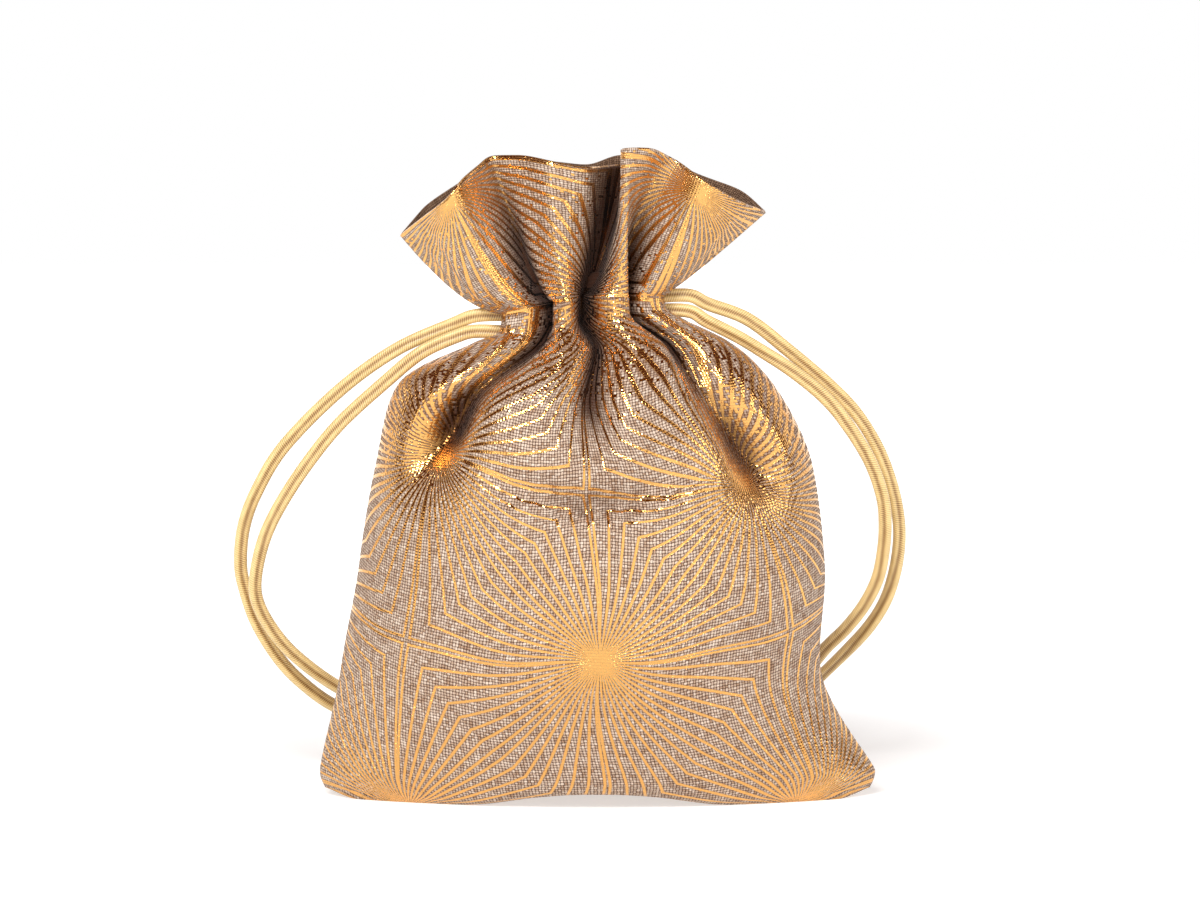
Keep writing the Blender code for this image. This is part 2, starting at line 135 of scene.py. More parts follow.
# the cloth of the pouch, in metres: a section for each of these heights, from the table up
pouchSizes = {
    "treadWidth": 0.0985,
    "treadDepth": 0.0215,
    "footHeight": 0.0045,
    "footWidth": 0.1004,
    "footDepth": 0.0310,
    "waistHeight": 0.0230,
    "waistWidth": 0.0866,
    "waistDepth": 0.0432,
    "bellyHeight": 0.0420,
    "bellyWidth": 0.0838,
    "bellyDepth": 0.0470,
    "chestHeight": 0.0580,
    "chestWidth": 0.0784,
    "chestDepth": 0.0462,
    "shoulderHeight": 0.0715,
    "shoulderWidth": 0.0675,
    "shoulderDepth": 0.0384,
    "collarHeight": 0.0812,
    "collarWidth": 0.0475,
    "collarDepth": 0.0266,
    "neckHeight": 0.0862,
    "neckWidth": 0.0312,
    "neckDepth": 0.0204,
    "neckTilt": 0.0022,
    "throatHeight": 0.0904,
    "throatWidth": 0.0300,
    "throatDepth": 0.0196,
    "throatTilt": 0.0016,
    "baseArch": 0.0026,
    "cornerLift": 0.0016,
    "pleatDepth": 0.0078,
    "seamDent": 0.0016,
    "dimpleDepth": 0.0042,
    "dimpleBelow": 0.46,  # how far a dent fades downward and upward, in sections
    "dimpleAbove": 0.60,
    "creaseDepth": 0.0034,  # the crease that runs across between the dents
    "creaseDrop": 0.32,  # how far under the chest its middle lies, in sections
    "creaseRise": 0.42,
    "creaseReach": 0.25,  # half its length, as a share of the panel
    "creaseBelow": 0.055,
    "creaseAbove": 0.30,
    "puckerDepth": 0.00042,
    "frillWidth": 0.0652,
    "frillDepth": 0.0215,
    "frillHeight": 0.0305,
    "clothThickness": 0.0006,
    "panelWidth": 0.100,  # flat, between its side seams
    "throatOnCloth": 0.1095,  # from the bottom seam up to the throat, along the cloth
    "hemOnCloth": 0.1450,
    "innerStart": 11,  # rows above the throat at which the frill's mouth is shut
    "columns": 190,  # of one panel
    "rows": (7, 6, 20, 18, 15, 34, 22, 16, 8),  # between the sections, from the seam up
    "frillRows": 46,
}
mapUnit = 100  # mm of cloth for one unit of its UV maps
chest = 5  # places in the list of sections
neck = 8
throat = 9

# place at the dent, place at the neck, place round the neck, share of the full depth,
# share of the full dent, lean of the crest that follows, level of the dent, sharpness
frontPleats = (
    (0.165, 0.25, 0.30, 1.05, 1.35, 0.12, 0.50, 1.3),
    (0.53, 0.51, 0.49, 1.00, 0.70, 0.30, 1.00, 2.6),
    (0.83, 0.73, 0.75, 1.05, 1.15, 0.05, 0.22, 1.0),
)
backPleats = (
    (0.21, 0.27, 0.27, 1.00, 0.9, -0.15, 0.35, 1.0),
    (0.46, 0.49, 0.49, 0.90, 0.5, 0.20, 1.10, 2.0),
    (0.78, 0.75, 0.71, 1.00, 1.0, -0.10, 0.25, 1.0),
)
# painted shade on the front of the frill: depth, place and half width of each band, given as a fold depth
# that only darkens the colour
frillShadeBands = ((0.0085, 0.51, 0.042), (0.0042, 0.29, 0.055), (0.0030, 0.76, 0.040))
# the hem: place in the cloth, then left to right, front to back and up, as shares of the frill
frontHem = (
    (0.00, -1.00, 0.10, 0.486),
    (0.08, -0.87, -0.45, 0.591),
    (0.135, -0.77, -0.85, 0.669),
    (0.17, -0.70, -1.00, 0.735),
    (0.205, -0.64, -0.80, 0.815),
    (0.25, -0.57, -0.25, 0.885),
    (0.30, -0.49, 0.15, 0.945),
    (0.345, -0.36, -0.08, 0.950),
    (0.40, -0.16, -0.58, 0.915),
    (0.45, 0.03, -0.45, 0.880),
    (0.485, 0.12, 0.15, 0.885),
    (0.52, 0.235, 0.62, 0.900),
    (0.555, 0.275, 0.30, 0.925),
    (0.59, 0.225, -0.40, 0.965),
    (0.62, 0.205, -0.80, 0.985),
    (0.655, 0.26, -0.97, 0.990),
    (0.70, 0.36, -0.88, 0.985),
    (0.77, 0.49, -0.55, 0.927),
    (0.85, 0.67, -0.90, 0.793),
    (0.92, 0.86, -0.60, 0.678),
    (1.00, 1.00, -0.05, 0.620),
)
backHem = (
    (0.00, 1.00, -0.05, 0.620),
    (0.09, 0.88, 0.50, 0.735),
    (0.20, 0.64, 0.80, 0.835),
    (0.30, 0.44, 0.95, 0.920),
    (0.40, 0.22, 0.86, 0.950),
    (0.49, 0.02, 0.98, 0.890),
    (0.59, -0.20, 0.75, 0.915),
    (0.69, -0.44, 1.00, 0.930),
    (0.80, -0.66, 0.70, 0.800),
    (0.91, -0.88, 0.70, 0.640),
    (1.00, -1.00, 0.10, 0.486),
)


def sectionTable(s):
    # height at the front, height at the seams, width, depth, shift of the middle, point, tilt
    rows = [(0, s["cornerLift"], s["footWidth"] - 0.0012, 0, 0, 1.5, 0)]
    rows.append((0, s["cornerLift"], s["treadWidth"], s["treadDepth"], 0, 1.5, 0))
    rest = (
        ("foot", 1.0, 0, 1.45, 0),
        ("waist", 1.0, -0.035, 1.25, 0),
        ("belly", 1.0, -0.012, 1.15, 0),
        ("chest", 1.035, -0.008, 1.1, 0),
        ("shoulder", 1.05, -0.031, 1.05, 0.0),
        ("collar", 1.01, 0.0, 1.0, 0.0004),
        ("neck", 1.0, -0.085, 1.0, s["neckTilt"]),
        ("throat", 0.98, -0.088, 1.0, s["throatTilt"]),
    )
    for name, seam, middle, point, tilt in rest:
        height = s[name + "Height"]
        rows.append((height, height * seam, s[name + "Width"], s[name + "Depth"], middle, point, tilt))
    return np.array(rows)


sections = sectionTable(pouchSizes)
columns = pouchSizes["columns"]
acrossPanel = np.arange(columns) / columns


def gatherPanel(pleats, strength):
    # where each column of a panel lies round the bag, and how far down a fold it is
    atDent = np.array([0.0] + [p[0] for p in pleats] + [1.0])
    atNeck = np.array([0.0] + [p[1] for p in pleats] + [1.0])
    neckPlace = np.array([0.0] + [p[2] for p in pleats] + [1.0])
    fold = atDent + (atNeck - atDent) * strength
    place = fold + (neckPlace - fold) * strength
    cell = np.clip(np.searchsorted(fold, acrossPanel, side="right") - 1, 0, len(fold) - 2)
    across = (acrossPanel - fold[cell]) / (fold[cell + 1] - fold[cell])
    eased = across - 0.76 * strength * np.sin(2 * math.pi * across) / (2 * math.pi)
    lies = place[cell] + (place[cell + 1] - place[cell]) * eased
    near = np.where(across < 0.5, cell, cell + 1)
    sharp = np.array([1.0] + [p[7] for p in pleats] + [1.0])[near]
    inFold = (0.5 + 0.5 * np.cos(2 * math.pi * across)) ** (1.0 + 1.2 * sharp * (1 - strength))
    lean = np.array([0.10] + [p[5] for p in pleats])[cell] * np.sin(math.pi * across) ** 2
    return lies, inFold, near, lean


def bagRing(level, s):
    # one ring of points round the bag, front panel first, and how far the folds draw it in
    values = [float(curveThrough(range(len(sections)), sections[:, i], level)) for i in range(7)]
    frontHeight, seamHeight, width, depth, middle, point, tilt = values
    strength = float(softStep((level - chest) / (neck - chest))) ** 0.8
    rows = []
    folds = []
    for side, pleats in ((-1, frontPleats), (1, backPleats)):
        lies, inFold, near, lean = gatherPanel(pleats, strength)
        turn = np.linspace(0.0, math.pi, 721)
        x = side * width / 2 * np.cos(turn)
        y = side * depth / 2 * np.sin(turn) ** point
        run = np.concatenate(([0.0], np.cumsum(np.hypot(np.diff(x), np.diff(y)))))
        along = lies * run[-1] + lean * s["pleatDepth"] * strength
        angle = np.interp(along, run, turn)
        x = side * width / 2 * np.cos(angle)
        y = side * depth / 2 * np.sin(angle) ** point
        out = np.stack((side * np.cos(angle) * max(depth, 0.002), side * np.sin(angle) * width), 1)
        out /= np.linalg.norm(out, axis=1)[:, None]
        full = np.array([s["seamDent"]] + [s["pleatDepth"] * p[3] for p in pleats] + [s["seamDent"]])
        past = level - chest - np.array([0.3] + [p[6] for p in pleats] + [0.3])
        dents = np.array([0.0] + [s["dimpleDepth"] * p[4] for p in pleats] + [0.0])
        dents = dents * np.exp(-((past / np.where(past < 0, s["dimpleBelow"], s["dimpleAbove"])) ** 2))
        inward = inFold * (full[near] * strength + dents[near])
        aside = np.clip(abs(lies - 0.5) / s["creaseReach"], 0, 1)
        crumple = 0.04 * np.sin(2 * math.pi * 9.3 * lies) + 0.05 * np.sin(2 * math.pi * 23 * lies + 1.0)
        below = level - (chest - s["creaseDrop"] + s["creaseRise"] * aside + side * crumple)
        fade = np.where(below < 0, s["creaseBelow"], s["creaseAbove"])
        crease = np.exp(-((below / fade) ** 2)) * (1 - softStep(aside))
        inward = inward + s["creaseDepth"] * crease
        # small puckers that run down from the drawn neck and die out on the shoulder
        pucker = np.sin(
            2 * math.pi * (15.5 * acrossPanel + 0.5 * np.sin(9 * acrossPanel + side)) + 1.5 * level
        )
        pucker = pucker * (0.6 + 0.4 * np.sin(2 * math.pi * 4.3 * acrossPanel + side))
        inward = inward + s["puckerDepth"] * pucker * softStep((level - chest - 0.9) / 1.3)
        z = seamHeight + (frontHeight - seamHeight) * np.sin(angle) ** 2
        z = z + tilt * side * np.cos(angle)
        if level <= 2:
            lift = s["baseArch"] * np.clip(1 - (x / (0.24 * s["footWidth"])) ** 2, 0, 1) ** 2
            z = z + lift * (1 - softStep(level - 1))
            tip = softStep((abs(x) / (s["footWidth"] / 2) - 0.86) / 0.14)
            z = np.where(level <= 1, lift + s["cornerLift"] * tip, z)
        row = np.stack((x + middle * width, y, z), 1)
        row[:, :2] -= out * inward[:, None]
        rows.append(row)
        folds.append(-out * inward[:, None])
    return np.concatenate(rows), np.concatenate(folds)


def hemRing(s):
    # the ring of points along the frill's hem
    middle = sections[throat][4] * s["throatWidth"]
    rows = []
    for hem in (frontHem, backHem):
        places = [p[0] for p in hem]
        x = curveThrough(places, [p[1] for p in hem], acrossPanel) * s["frillWidth"] / 2 + middle
        y = curveThrough(places, [p[2] for p in hem], acrossPanel) * s["frillDepth"] / 2
        z = curveThrough(places, [p[3] for p in hem], acrossPanel) * s["frillHeight"]
        rows.append(np.stack((x, y, z + s["neckHeight"]), 1))
    return np.concatenate(rows)


def clothGrid(s):
    # all rings from the bottom seam to the hem, the throat's row, and the depth of the folds, with bands of
    # painted shade added on the front of the frill
    levels = [0.0]
    for span, count in enumerate(s["rows"]):
        levels += [span + (i + 1) / count for i in range(count)]
    rings = [bagRing(level, s) for level in levels]
    body = [ring[0] for ring in rings]
    depths = [np.linalg.norm(ring[1], axis=1) for ring in rings]
    folds = rings[-1][1]
    inFront = np.concatenate((np.ones(columns), np.zeros(columns)))
    place = np.tile(acrossPanel, 2)
    # painted shade: these bands add depth only to the darkening of the colour, not to the cloth's shape
    wedgeShade, hollowShade, nookShade = (
        depth * np.exp(-(((place - at) / wide) ** 2)) * inFront for depth, at, wide in frillShadeBands
    )
    hem = hemRing(s)
    toLeft = softStep(0.5 - (body[-1][:, 0] - body[-1][:, 0].mean()) / s["throatWidth"])
    frill = []
    for i in range(1, s["frillRows"] + 1):
        share = i / s["frillRows"]
        out = share ** (0.90 - 0.17 * toLeft)
        up = share ** (1.12 + 0.27 * toLeft)
        row = body[-1] + (hem - body[-1]) * np.stack((out, out, up), 1)
        row[:, :2] += folds * (out - share**2.4)[:, None]
        frill.append(row)
        shadeBands = (wedgeShade + (hollowShade + nookShade) * min(1.0, 2 * share)) * (1 - 0.35 * share)
        depths.append(depths[len(body) - 1] * (1 - share) ** 1.5 + shadeBands)
    return np.array(body + frill), len(body) - 1, np.array(depths)


def outward(grid):
    # the way out of the cloth at each of its points
    roundIt = np.roll(grid, -1, axis=1) - np.roll(grid, 1, axis=1)
    up = np.empty_like(grid)
    up[1:-1] = grid[2:] - grid[:-2]
    up[0] = grid[1] - grid[0]
    up[-1] = grid[-1] - grid[-2]
    normal = np.cross(roundIt, up)
    return normal / np.maximum(np.linalg.norm(normal, axis=2)[..., None], 1e-12)


def clothPlaces(grid, throatRow, s):
    # where each point lies on the flat cloth, in mm: across from the panel's middle, up from
    # the bottom seam
    across = np.concatenate((acrossPanel - 0.5, 0.5 - acrossPanel)) * s["panelWidth"]
    across = np.tile(across, (len(grid), 1))
    step = np.linalg.norm(np.diff(grid, axis=0), axis=2)
    up = np.concatenate((np.zeros((1, grid.shape[1])), np.cumsum(step, axis=0)))
    # small folds don't pull the print up or down, so its height is evened out over columns
    reach = np.arange(-30, 31)
    share = np.exp(-((reach / 14) ** 2))
    up = sum(np.roll(up, int(k), axis=1) * w for k, w in zip(reach, share / share.sum()))
    toThroat = up[throatRow]
    lower = up * (s["throatOnCloth"] / toThroat)
    rest = (up - toThroat) / (up[-1] - toThroat) * (s["hemOnCloth"] - s["throatOnCloth"])
    up = np.where(np.arange(len(grid))[:, None] <= throatRow, lower, s["throatOnCloth"] + rest)
    return across * 1000, up * 1000


def printPlaces(across, up):
    # the print sits a little askew: drawn in between the dents, lower on the right, all in mm
    levels = (0, 39, 70, 105, 145)
    middle = np.interp(up, levels, (0.6, 3.2, -1.4, 1.0, 0.0))
    spread = np.interp(up, levels, (0.0, 0.0, 0.23, 0.04, 0.06))
    rise = np.interp(up, levels, (0.0, 0.0, 1.0, 0.0, 0.0))
    moved = (across - middle) * (1 + spread * (1 - np.clip(abs(across) / 50, 0, 1) ** 3))
    lower = np.interp(up, (105, 140), (0.0, 0.09)) * np.maximum(moved, 0)
    return moved, up + (4.4 + 0.109 * moved) * rise + lower


def makePouch(s):
    # one closed skin: the bag outside, the lip of the hem and the frill inside
    grid, throatRow, depths = clothGrid(s)
    normal = outward(grid)
    across, up = clothPlaces(grid, throatRow, s)
    printAcross, printUp = printPlaces(across, up)
    floorRow = throatRow + s["innerStart"]
    inner = grid - normal * s["clothThickness"]
    lip = (grid[-1] + inner[-1]) / 2 + np.array((0, 0, s["clothThickness"] * 0.35))
    count = grid.shape[1]
    half = columns
    # rows from the bottom seam up the outside, over the lip and down inside the frill
    rows = [grid[i] for i in range(len(grid))] + [lip]
    rows += [inner[i] for i in range(len(grid) - 1, floorRow - 1, -1)]
    deep = [depths[i] for i in range(len(grid))] + [depths[-1] * 0] * (len(rows) - len(grid))
    order = list(range(len(grid))) + [len(grid) - 1] + list(range(len(grid) - 1, floorRow - 1, -1))
    # one more column than the mesh, so that each panel ends at its own seam
    maps = []
    for table in (across, up, printAcross, printUp):
        maps.append(np.concatenate((table, table[:, :1]), 1)[order])
    points = [tuple(p) for p in rows[0][: half + 1]]
    index = [[j if j <= half else count - j for j in range(count)]]
    for row in rows[1:]:
        start = len(points)
        points += [tuple(p) for p in row]
        index.append(list(range(start, start + count)))
    faces = []
    places = []
    prints = []
    inside = []
    for i in range(len(rows) - 1):
        for j in range(count):
            k = (j + 1) % count
            corners = ((i, j, j), (i, k, j + 1), (i + 1, k, j + 1), (i + 1, j, j))
            face = []
            for row, column, at in corners:
                vertex = index[row][column]
                if vertex in face:
                    continue
                face.append(vertex)
                places.append((maps[0][row][at] / mapUnit, maps[1][row][at] / mapUnit))
                prints.append((maps[2][row][at] / mapUnit, maps[3][row][at] / mapUnit))
            if len(face) > 2:
                faces.append(face)
                inside.append(1 if i >= len(grid) else 0)
            else:
                del places[-len(face) :], prints[-len(face) :]
    faces.append(index[-1])
    places += [(maps[0][-1][j] / mapUnit, maps[1][-1][j] / mapUnit) for j in range(count)]
    prints += [(0.0, 0.0)] * count
    inside.append(1)
    mesh = bpy.data.meshes.new("pouchCloth")
    mesh.from_pydata(points, [], faces)
    for name, flat in (("cloth", places), ("print", prints)):
        layer = mesh.uv_layers.new(name=name)
        layer.data.foreach_set("uv", np.array(flat, float).ravel())
    # the depth down the folds at each point, which the material turns into painted shade
    layer = mesh.attributes.new("fold", "FLOAT", "POINT")
    layer.data.foreach_set("value", np.concatenate([deep[0][: half + 1], *deep[1:]]) * 1000)
    mesh.polygons.foreach_set("material_index", inside)
    mesh.shade_smooth()
    mesh.update()
    return linkObject("pouchCloth", mesh)


# printed linen
linenFinish = {
    "threadPitch": 0.54,  # mm from thread to thread, a little coarse so that it shows
    "slubRate": 0.45,  # changes of a thread's thickness per mm of its length
    "wander": 0.80,  # how far the threads stray, in threads
    "thread": "#DCC9B7",
    "threadDark": "#AA8A70",
    "gap": "#543625",
    # darker copies of the linen's colours for the inside of the frill: painted shade
    "inside": {"thread": "#8E7059", "threadDark": "#6B4F3A", "gap": "#3A2618"},
    "linenRough": 0.85,
    "sheen": 0.04,
    "specular": 0.25,
    "relief": 0.00013,  # m, height of the weave
    "foil": "#E8B068",
    "foilRough": 0.13,
    "foilFlat": 0.74,  # how far the foil evens out the weave
    # brown that darkens the cloth close to each ray
    "rayBorder": "#6B3F1C",
    "lattice": 35.0,  # mm, half the diagonal of a cell of the print
    "firstBurst": 39.8,  # mm, from the bottom seam up to the lowest middle burst
    "raysFirst": 8.7,  # rays per radian on the axis, and how they grow toward the diagonal
    "raysGrowth": 1.2,
    "rayShift": 0.16,
    "rayRoot": 0.10,  # mm, half the width of a ray at the middle of its burst
    "rayTaper": 0.014,
    "rayHalf": 0.25,  # mm, half the width of a printed ray
    "rayHalfHigh": 0.40,  # and near the gathered neck
    "ragged": 0.14,
    "wideFrom": 62.0,  # mm up the cloth at which the rays start to widen
    "wideTo": 80.0,
    "middleLate": 19.0,  # mm by which they start later between the dents
    "middleTo": (20.0, 34.0),
    "frillFade": (112.0, 124.0),  # mm up the cloth over which the flecks thin out again
    "flecks": 0.22,  # share of the threads' tops that carry a fleck near the neck
    "foldFrom": 1.4,  # mm of fold depth at which the painted shade starts to darken the colour
    "foldTo": 6.0,
    "foldShade": 0.92,
    # the colour of the painted shade in the folds and inside the frill
    "paintedShadeColour": "#3A1A08",
    "wellFrom": 142.0,  # mm up the cloth at which painted shade starts on the inside of the frill
    "wellTo": 114.0,
    "wellShade": 0.94,
}


def weaveNodes(tree, acrossMm, upMm, f):
    # plain weave: height of the cloth, and how light each thread is where it lies on top
    slub = addNode(
        tree,
        "ShaderNodeCombineXYZ",
        None,
        (addNode(tree, maths, times, (acrossMm, 0.35)), addNode(tree, maths, times, (upMm, 0.35))),
    )
    wander = addNode(
        tree,
        "ShaderNodeTexNoise",
        flatNoise,
        {"Vector": slub, "Scale": 1.0, "Detail": 4.0, "Roughness": 0.62},
    )
    drift = addNode(
        tree, maths, times, (addNode(tree, maths, minus, (wander.outputs["Fac"], 0.5)), f["wander"])
    )
    sides = []
    for along, beside in ((upMm, acrossMm), (acrossMm, upMm)):
        place = addNode(
            tree, maths, plus, (addNode(tree, maths, divided, (beside, f["threadPitch"])), drift)
        )
        thread = addNode(tree, maths, {"operation": "FLOOR"}, (place,))
        off = addNode(tree, maths, minus, (addNode(tree, maths, {"operation": "FRACT"}, (place,)), 0.5))
        hump = addNode(tree, maths, {"operation": "COSINE"}, (addNode(tree, maths, times, (off, math.pi)),))
        spot = addNode(
            tree,
            "ShaderNodeCombineXYZ",
            None,
            (
                addNode(tree, maths, times, (thread, 7.31)),
                addNode(tree, maths, times, (along, f["slubRate"])),
            ),
        )
        tone = addNode(
            tree,
            "ShaderNodeTexNoise",
            flatNoise,
            {"Vector": spot, "Scale": 1.0, "Detail": 2.0, "Roughness": 0.6},
        )
        sides.append((thread, hump, tone.outputs["Fac"]))
    (warp, warpHump, warpTone), (weft, weftHump, weftTone) = sides
    parity = addNode(
        tree,
        maths,
        {"operation": "ABSOLUTE"},
        (addNode(tree, maths, {"operation": "MODULO"}, (addNode(tree, maths, plus, (warp, weft)), 2.0)),),
    )
    over, under = [
        addNode(
            tree,
            maths,
            times,
            (top, addNode(tree, maths, plus, (addNode(tree, maths, times, (low, 0.5)), 0.5))),
        )
        for top, low in ((warpHump, weftHump), (weftHump, warpHump))
    ]
    height = addNode(tree, "ShaderNodeMix", byNumber, {0: parity, 2: over, 3: under})
    tone = addNode(tree, "ShaderNodeMix", byNumber, {0: parity, 2: warpTone, 3: weftTone})
    # a thick part of a thread stands higher and closes the gap beside it
    thicker = addNode(tree, maths, times, (addNode(tree, maths, minus, (tone, 0.5)), 0.45))
    raised = addNode(tree, maths, plus, (height, thicker))
    crossing = addNode(tree, "ShaderNodeCombineXYZ", None, (warp, weft))
    chance = addNode(tree, "ShaderNodeTexWhiteNoise", flatNoise, {"Vector": crossing})
    return raised, tone, chance.outputs["Value"]


def burstNodes(tree, acrossMm, upMm, f):
    # distance in mm from the nearest printed ray, and from the middle of its burst
    size = f["lattice"]
    x = addNode(tree, maths, divided, (acrossMm, size))
    y = addNode(tree, maths, divided, (addNode(tree, maths, minus, (upMm, f["firstBurst"])), size))
    s = addNode(tree, maths, times, (addNode(tree, maths, plus, (x, y)), 0.5))
    t = addNode(tree, maths, times, (addNode(tree, maths, minus, (x, y)), 0.5))
    ds = addNode(tree, maths, minus, (s, addNode(tree, maths, {"operation": "ROUND"}, (s,))))
    dt = addNode(tree, maths, minus, (t, addNode(tree, maths, {"operation": "ROUND"}, (t,))))
    dx = addNode(tree, maths, {"operation": "ABSOLUTE"}, (addNode(tree, maths, plus, (ds, dt)),))
    dy = addNode(tree, maths, {"operation": "ABSOLUTE"}, (addNode(tree, maths, minus, (ds, dt)),))
    far = addNode(tree, maths, {"operation": "MAXIMUM"}, (dx, dy))
    near = addNode(tree, maths, {"operation": "MINIMUM"}, (dx, dy))
    angle = addNode(tree, maths, {"operation": "ARCTAN2"}, (near, far))
    squares = addNode(
        tree, maths, plus, (addNode(tree, maths, times, (dx, dx)), addNode(tree, maths, times, (dy, dy)))
    )
    radius = addNode(tree, maths, times, (addNode(tree, maths, {"operation": "SQRT"}, (squares,)), size))
    # rays per radian grow from the axis to the diagonal of the cell
    closer = addNode(
        tree, maths, plus, (addNode(tree, maths, times, (angle, f["raysGrowth"])), f["raysFirst"])
    )
    count = addNode(tree, maths, minus, (addNode(tree, maths, times, (angle, closer)), f["rayShift"]))
    rate = addNode(
        tree, maths, plus, (addNode(tree, maths, times, (angle, 2 * f["raysGrowth"])), f["raysFirst"])
    )
    off = addNode(
        tree,
        maths,
        {"operation": "ABSOLUTE"},
        (addNode(tree, maths, minus, (count, addNode(tree, maths, {"operation": "ROUND"}, (count,)))),),
    )
    distance = addNode(tree, maths, times, (addNode(tree, maths, divided, (off, rate)), radius))
    return distance, radius


def foilNodes(tree, cloth, upMm, height, chance, bare, f):
    # where the gold foil lies on the threads, and the colour of the printed cloth
    printed = addNode(tree, "ShaderNodeUVMap", {"uv_map": "print"})
    apart = addNode(tree, "ShaderNodeSeparateXYZ", None, (printed,))
    printAcross = addNode(tree, maths, times, (apart.outputs[0], float(mapUnit)))
    printUp = addNode(tree, maths, times, (apart.outputs[1], float(mapUnit)))
    distance, radius = burstNodes(tree, printAcross, printUp, f)
    ragged = addNode(
        tree, "ShaderNodeTexNoise", flatNoise, {"Vector": cloth, "Scale": 260.0, "Detail": 1.0}
    )
    # toward the gathered neck the rays run wider and shed flecks of foil
    aside = addNode(tree, maths, {"operation": "ABSOLUTE"}, (printAcross,))
    late = addNode(tree, "ShaderNodeMapRange", smooth, (aside, *f["middleTo"], f["middleLate"], 0.0))
    climb = addNode(tree, maths, minus, (upMm, late))
    high = addNode(tree, "ShaderNodeMapRange", smooth, (climb, f["wideFrom"], f["wideTo"], 0.0, 1.0))
    frill = addNode(tree, "ShaderNodeMapRange", smooth, (upMm, *f["frillFade"], 1.0, 0.15))
    shed = addNode(tree, maths, times, (high, frill))
    widest = addNode(
        tree,
        maths,
        plus,
        (addNode(tree, maths, times, (high, f["rayHalfHigh"] - f["rayHalf"])), f["rayHalf"]),
    )
    taper = addNode(tree, maths, plus, (addNode(tree, maths, times, (radius, f["rayTaper"])), f["rayRoot"]))
    wavy = addNode(
        tree, maths, times, (addNode(tree, maths, minus, (ragged.outputs["Fac"], 0.5)), f["ragged"])
    )
    edge = addNode(
        tree, maths, plus, (addNode(tree, maths, {"operation": "MINIMUM"}, (taper, widest)), wavy)
    )
    beside = addNode(tree, maths, minus, (distance, edge))
    ray = addNode(tree, "ShaderNodeMapRange", smooth, (beside, 0.05, -0.05, 0.0, 1.0))
    fleck = addNode(
        tree, maths, {"operation": "LESS_THAN"}, (chance, addNode(tree, maths, times, (shed, f["flecks"])))
    )
    onThread = addNode(tree, "ShaderNodeMapRange", None, (height, -0.12, 0.06, 0.0, 1.0))
    foil = addNode(
        tree, maths, times, (addNode(tree, maths, {"operation": "MAXIMUM"}, (ray, fleck)), onThread)
    )
    # the cloth is darkened to brown close to each ray, more so toward the gathered neck
    reach = addNode(tree, maths, plus, (addNode(tree, maths, times, (shed, 0.5)), 0.16))
    rim = addNode(
        tree,
        maths,
        {"operation": "MAXIMUM"},
        (addNode(tree, maths, minus, (1.0, addNode(tree, maths, divided, (beside, reach)))), 0.0),
    )
    strength = addNode(tree, maths, plus, (addNode(tree, maths, times, (shed, 0.3)), 0.45))
    rayBorder = addNode(
        tree, maths, times, (addNode(tree, maths, {"operation": "MINIMUM"}, (rim, 1.0)), strength)
    )
    bordered = addNode(tree, "ShaderNodeMix", byColour, {0: rayBorder, 6: bare, 7: fromHex(f["rayBorder"])})
    coloured = addNode(
        tree, "ShaderNodeMix", byColour, {0: foil, 6: bordered.outputs[2], 7: fromHex(f["foil"])}
    )
    return foil, coloured.outputs[2]


